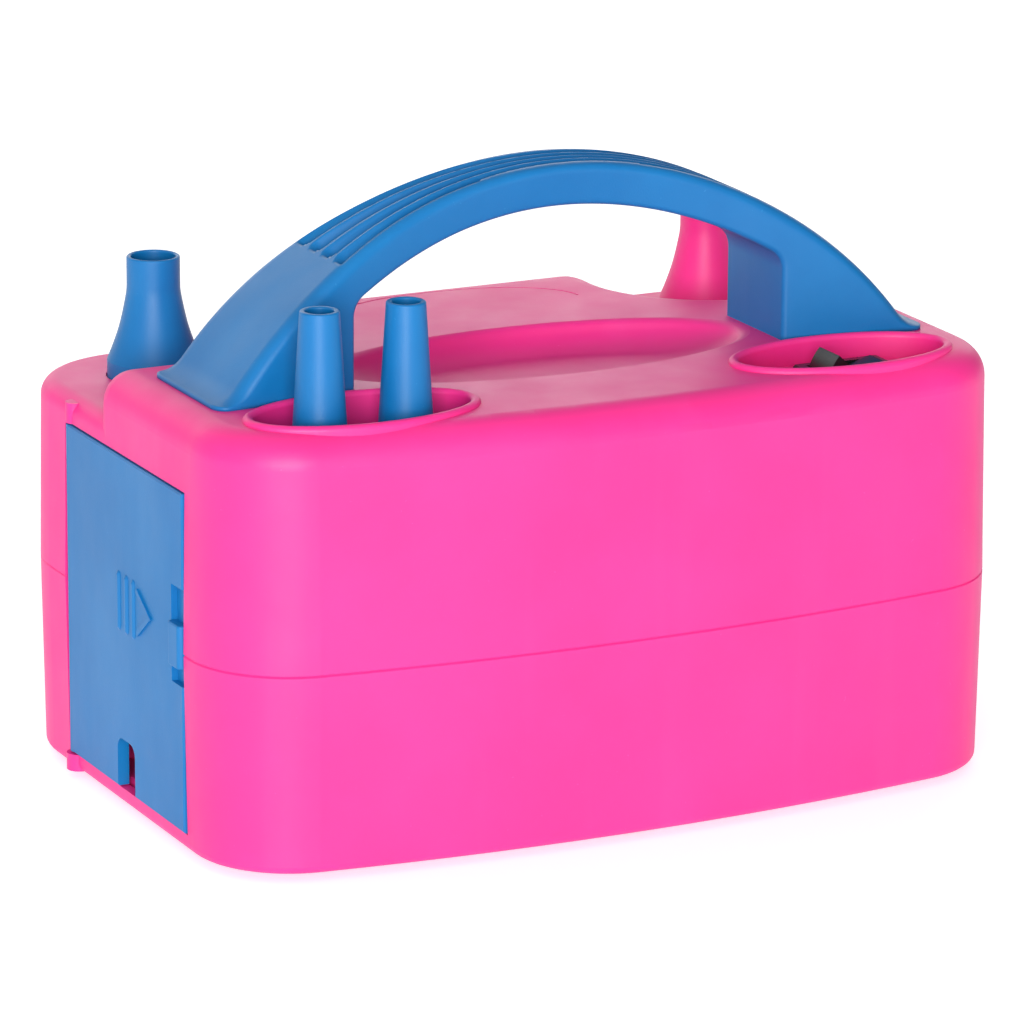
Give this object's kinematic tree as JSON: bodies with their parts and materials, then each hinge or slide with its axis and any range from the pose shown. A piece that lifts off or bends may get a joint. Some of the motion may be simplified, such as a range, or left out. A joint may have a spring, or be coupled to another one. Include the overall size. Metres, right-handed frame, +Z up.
{
  "type": "electric balloon inflator",
  "caption": "Electric balloon inflator: rounded two-shell housing, arched carrying handle, twin press-down air outlets, rocker switch, side cord door and loose nozzle tips.",
  "frame": {"origin": "on the resting surface, under the middle of the housing", "axes": "+Z up, +X along the housing's long side to the switch end, +Y from the front wall to the rear wall with the outlets"},
  "size_m": [0.2162, 0.149, 0.1593],
  "materials": {
    "pink_plastic": "satin moulded plastic with a fine grain",
    "blue_plastic": "satin moulded plastic with a fine grain",
    "black_plastic": "moulded black plastic",
    "grey_plastic": "moulded grey plastic",
    "white_plastic": "moulded white plastic",
    "steel": "zinc-plated steel",
    "brass": "plated brass",
    "copper": "enamelled copper",
    "carbon": "pressed carbon",
    "laminations": "stacked laminations",
    "rubber": "soft black rubber",
    "spring_steel": "bright spring wire"
  },
  "bodies": {
    "root": {"upper_housing": "pink_plastic", "lower_housing": "pink_plastic", "handle": "blue_plastic", "handle_screws": "steel", "housing_screws": "steel", "cord_tub": "pink_plastic", "cord_inlet": "rubber", "switch_body": "black_plastic", "switch_terminals": "brass", "capacitor": "grey_plastic", "left_motor_chamber": "grey_plastic", "left_fan_housing": "grey_plastic", "left_mount_rings": "rubber", "left_bearing_plate": "white_plastic", "left_end_frame": "white_plastic", "left_bearings": "steel", "left_stator_core": "laminations", "left_field_coils": "copper", "left_brush_ring": "black_plastic", "left_brush_holders": "brass", "left_brushes": "carbon", "left_micro_switch": "black_plastic", "right_motor_chamber": "grey_plastic", "right_fan_housing": "grey_plastic", "right_mount_rings": "rubber", "right_bearing_plate": "white_plastic", "right_end_frame": "white_plastic", "right_bearings": "steel", "right_stator_core": "laminations", "right_field_coils": "copper", "right_brush_ring": "black_plastic", "right_brush_holders": "brass", "right_brushes": "carbon", "right_micro_switch": "black_plastic"},
    "cord_door": {"cord_door": "blue_plastic"},
    "switch_rocker": {"switch_rocker": "black_plastic"},
    "outer_tip": {"outer_tip": "blue_plastic"},
    "inner_tip": {"inner_tip": "blue_plastic"},
    "left_nozzle": {"left_nozzle": "blue_plastic", "left_nozzle_spring": "spring_steel"},
    "left_rotor": {"left_shaft": "steel", "left_armature_core": "laminations", "left_armature_winding": "copper", "left_commutator": "copper", "left_impeller": "white_plastic"},
    "right_nozzle": {"right_nozzle": "pink_plastic", "right_nozzle_spring": "spring_steel"},
    "right_rotor": {"right_shaft": "steel", "right_armature_core": "laminations", "right_armature_winding": "copper", "right_commutator": "copper", "right_impeller": "white_plastic"}
  },
  "joints": [
    {"name": "left_nozzle_press", "type": "slide", "parent": "root", "child": "left_nozzle", "axis": [0, 0, -1], "range_m": [0, 0.004], "stiffness_N_per_m": 900, "springref_m": -0.004, "deforming": ["left_nozzle_spring"]},
    {"name": "left_motor_spin", "type": "hinge", "parent": "root", "child": "left_rotor", "pos_m": [-0.0782, 0.0462, 0.05], "axis": [0, 0, 1], "continuous": true},
    {"name": "right_nozzle_press", "type": "slide", "parent": "root", "child": "right_nozzle", "axis": [0, 0, -1], "range_m": [0, 0.004], "stiffness_N_per_m": 900, "springref_m": -0.004, "deforming": ["right_nozzle_spring"]},
    {"name": "right_motor_spin", "type": "hinge", "parent": "root", "child": "right_rotor", "pos_m": [0.0782, 0.0462, 0.05], "axis": [0, 0, 1], "continuous": true},
    {"name": "cord_door_hinge", "type": "hinge", "parent": "root", "child": "cord_door", "pos_m": [-0.1054, 0.0326, 0.05], "axis": [0, 0, -1], "range_deg": [0, 100]},
    {"name": "switch_rocker_tilt", "type": "hinge", "parent": "root", "child": "switch_rocker", "pos_m": [0.0675, -0.05, 0.1032], "axis": [0, 1, 0], "range_deg": [-28, 0]},
    {"name": "outer_tip_lift", "type": "slide", "parent": "root", "child": "outer_tip", "axis": [0, 0, 1], "range_m": [0, 0.05]},
    {"name": "inner_tip_lift", "type": "slide", "parent": "root", "child": "inner_tip", "axis": [0, 0, 1], "range_m": [0, 0.05]}
  ]
}
